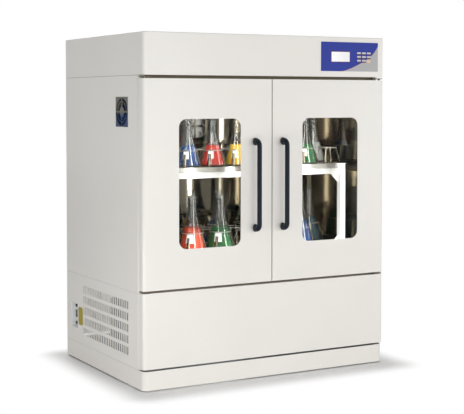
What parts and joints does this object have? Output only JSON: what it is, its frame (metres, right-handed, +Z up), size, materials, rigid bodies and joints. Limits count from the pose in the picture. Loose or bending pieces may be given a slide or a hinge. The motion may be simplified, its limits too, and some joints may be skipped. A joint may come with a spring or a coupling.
{
  "type": "incubated shaker",
  "caption": "Floor-standing incubator shaker cabinet with two windowed doors, bar handles, a control panel, side vents and a two-tier orbiting flask rack.",
  "frame": {"origin": "on the floor, in the middle of the floor area that the cabinet and its door handles cover", "axes": "+X to the viewer's right, +Y towards the back of the cabinet, +Z up"},
  "size_m": [1.22, 0.916, 1.5],
  "materials": {
    "painted_white": "satin",
    "grey_frame_paint": "satin",
    "mirror_stainless": "polished",
    "brushed_stainless": "satin",
    "dark_jamb_paint": "satin",
    "white_rack_paint": "gloss",
    "zinc_steel": "matte",
    "cast_aluminium": "matte",
    "compressor_black": "gloss",
    "foam_yellow": "matte",
    "door_liner_white": "gloss",
    "window_glass": "gloss",
    "flask_glass": "gloss",
    "seal_grey": "matte",
    "belt_black": "matte",
    "foot_black": "matte",
    "handle_slate": "satin",
    "overlay_blue": "satin",
    "display_white": "gloss",
    "key_grey": "satin",
    "key_orange": "satin",
    "board_green": "satin",
    "fan_navy": "satin",
    "fan_frame_dark": "satin",
    "recess_white": "satin",
    "service_yellow": "satin",
    "fitting_black": "satin"
  },
  "bodies": {
    "cabinet": {"base_frame": "grey_frame_paint", "levelling_feet": "foot_black", "base_skirt": "painted_white", "lower_front_panel": "painted_white", "lower_left_panel": "painted_white", "lower_right_panel": "painted_white", "rear_panel": "painted_white", "upper_left_panel": "painted_white", "upper_right_panel": "painted_white", "control_hood": "painted_white", "insulation": "foam_yellow", "front_jamb": "dark_jamb_paint", "chamber_liner": "mirror_stainless", "rear_air_duct": "mirror_stainless", "circulation_motor": "zinc_steel", "duct_coils": "cast_aluminium", "condensing_unit": "compressor_black", "side_fan_frame": "fan_frame_dark", "service_recess": "recess_white", "service_cover": "service_yellow", "service_fittings": "fitting_black", "door_hinges": "dark_jamb_paint", "control_overlay": "overlay_blue", "display_window": "display_white", "control_board": "board_green", "drive_plate": "cast_aluminium", "drive_motor": "grey_frame_paint", "drive_belt": "belt_black"},
    "left_door": {"left_door_shell": "painted_white", "left_door_liner": "door_liner_white", "left_door_window": "window_glass", "left_door_seal": "seal_grey", "left_door_handle": "handle_slate"},
    "right_door": {"right_door_shell": "painted_white", "right_door_liner": "door_liner_white", "right_door_window": "window_glass", "right_door_seal": "seal_grey", "right_door_handle": "handle_slate"},
    "main_crank_group": {"main_crank": "zinc_steel"},
    "idler_crank_left_group": {"idler_crank_left": "zinc_steel"},
    "idler_crank_right_group": {"idler_crank_right": "zinc_steel"},
    "motor_pulley_group": {"motor_pulley": "cast_aluminium"},
    "circulation_fan_group": {"circulation_fan": "cast_aluminium"},
    "side_fan_rotor_group": {"side_fan_rotor": "fan_navy"},
    "power_switch_group": {"power_switch": "fitting_black"},
    "platform": {"platform_carrier": "cast_aluminium", "shaker_rack": "white_rack_paint", "upper_tray": "brushed_stainless", "lower_tray": "brushed_stainless", "flask_clamps": "mirror_stainless", "flasks": "flask_glass"},
    "key_1_group": {"key_1": "key_grey"},
    "key_2_group": {"key_2": "key_grey"},
    "key_3_group": {"key_3": "key_orange"},
    "key_4_group": {"key_4": "key_grey"},
    "key_5_group": {"key_5": "key_grey"},
    "key_6_group": {"key_6": "key_grey"},
    "key_7_group": {"key_7": "key_grey"},
    "key_8_group": {"key_8": "key_grey"},
    "key_9_group": {"key_9": "key_grey"}
  },
  "joints": [
    {"name": "left_door_hinge", "type": "hinge", "parent": "cabinet", "child": "left_door", "pos_m": [-0.598, -0.382, 0.8645], "axis": [0, 0, -1], "range_deg": [0, 110]},
    {"name": "right_door_hinge", "type": "hinge", "parent": "cabinet", "child": "right_door", "pos_m": [0.598, -0.382, 0.8645], "axis": [0, 0, 1], "range_deg": [0, 110]},
    {"name": "main_crank_spin", "type": "hinge", "parent": "cabinet", "child": "main_crank_group", "pos_m": [0, -0.072, 0.39], "axis": [0, 0, 1], "continuous": true},
    {"name": "platform_orbit", "type": "hinge", "parent": "main_crank_group", "child": "platform", "pos_m": [0.013, -0.072, 0.49], "axis": [0, 0, 1], "continuous": true},
    {"name": "idler_left_spin", "type": "hinge", "parent": "cabinet", "child": "idler_crank_left_group", "pos_m": [-0.24, 0.158, 0.42], "axis": [0, 0, 1], "continuous": true},
    {"name": "idler_right_spin", "type": "hinge", "parent": "cabinet", "child": "idler_crank_right_group", "pos_m": [0.24, 0.158, 0.42], "axis": [0, 0, 1], "continuous": true},
    {"name": "motor_pulley_spin", "type": "hinge", "parent": "cabinet", "child": "motor_pulley_group", "pos_m": [0.23, -0.072, 0.3275], "axis": [0, 0, 1], "continuous": true},
    {"name": "circulation_fan_spin", "type": "hinge", "parent": "cabinet", "child": "circulation_fan_group", "pos_m": [0, 0.325, 1.09], "axis": [0, 1, 0], "continuous": true},
    {"name": "side_fan_spin", "type": "hinge", "parent": "cabinet", "child": "side_fan_rotor_group", "pos_m": [-0.595, -0.191, 1.166], "axis": [1, 0, 0], "continuous": true},
    {"name": "power_switch_rock", "type": "hinge", "parent": "cabinet", "child": "power_switch_group", "pos_m": [-0.582, 0.392, 0.206], "axis": [0, 1, 0], "range_deg": [-8, 8]},
    {"name": "key_1_press", "type": "slide", "parent": "cabinet", "child": "key_1_group", "axis": [0, 1, 0], "range_m": [0, 0.0008], "stiffness_N_per_m": 400, "springref_m": -0.0005},
    {"name": "key_2_press", "type": "slide", "parent": "cabinet", "child": "key_2_group", "axis": [0, 1, 0], "range_m": [0, 0.0008], "stiffness_N_per_m": 400, "springref_m": -0.0005},
    {"name": "key_3_press", "type": "slide", "parent": "cabinet", "child": "key_3_group", "axis": [0, 1, 0], "range_m": [0, 0.0008], "stiffness_N_per_m": 400, "springref_m": -0.0005},
    {"name": "key_4_press", "type": "slide", "parent": "cabinet", "child": "key_4_group", "axis": [0, 1, 0], "range_m": [0, 0.0008], "stiffness_N_per_m": 400, "springref_m": -0.0005},
    {"name": "key_5_press", "type": "slide", "parent": "cabinet", "child": "key_5_group", "axis": [0, 1, 0], "range_m": [0, 0.0008], "stiffness_N_per_m": 400, "springref_m": -0.0005},
    {"name": "key_6_press", "type": "slide", "parent": "cabinet", "child": "key_6_group", "axis": [0, 1, 0], "range_m": [0, 0.0008], "stiffness_N_per_m": 400, "springref_m": -0.0005},
    {"name": "key_7_press", "type": "slide", "parent": "cabinet", "child": "key_7_group", "axis": [0, 1, 0], "range_m": [0, 0.0008], "stiffness_N_per_m": 400, "springref_m": -0.0005},
    {"name": "key_8_press", "type": "slide", "parent": "cabinet", "child": "key_8_group", "axis": [0, 1, 0], "range_m": [0, 0.0008], "stiffness_N_per_m": 400, "springref_m": -0.0005},
    {"name": "key_9_press", "type": "slide", "parent": "cabinet", "child": "key_9_group", "axis": [0, 1, 0], "range_m": [0, 0.0008], "stiffness_N_per_m": 400, "springref_m": -0.0005}
  ],
  "couplings": [
    {"joint": "platform_orbit", "follows": "main_crank_spin", "ratio": -1},
    {"joint": "idler_left_spin", "follows": "main_crank_spin", "ratio": 1},
    {"joint": "idler_right_spin", "follows": "main_crank_spin", "ratio": 1},
    {"joint": "motor_pulley_spin", "follows": "main_crank_spin", "ratio": 3}
  ]
}
